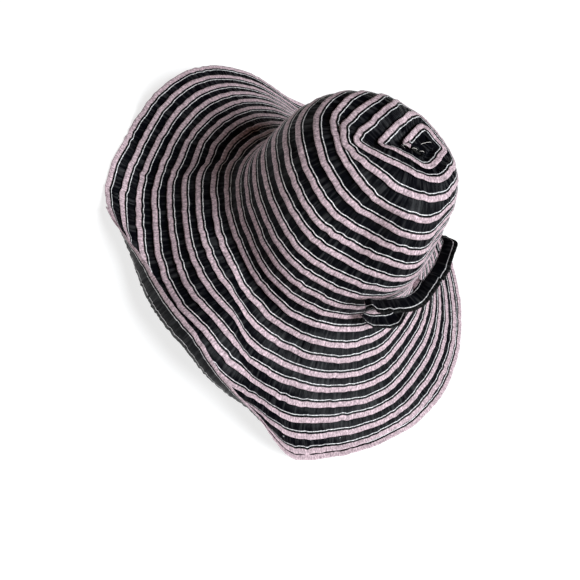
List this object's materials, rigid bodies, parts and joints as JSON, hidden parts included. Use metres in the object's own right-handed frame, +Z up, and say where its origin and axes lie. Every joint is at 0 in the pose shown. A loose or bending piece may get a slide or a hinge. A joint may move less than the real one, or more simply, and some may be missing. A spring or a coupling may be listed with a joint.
{
  "type": "wide brim sun hat",
  "caption": "Floppy wide brim sun hat sewn from a spiral of pink and black striped ribbon, with a small ribbon bow at the side of the crown.",
  "frame": {"origin": "middle of the floor under the hat, between its outermost points", "axes": "+Z up out of the crown tip; -Y towards the side where the brim is turned up; +X towards the side with the bow; +Y towards the back of the brim, which lies on the floor"},
  "size_m": [0.4144, 0.3978, 0.2031],
  "materials": {
    "striped_ribbon": "matte"
  },
  "bodies": {
    "root": {"crown_and_brim": "striped_ribbon", "bow_back_strip": "striped_ribbon", "bow_front_strip": "striped_ribbon", "bow_lower_loop": "striped_ribbon"}
  },
  "joints": []
}
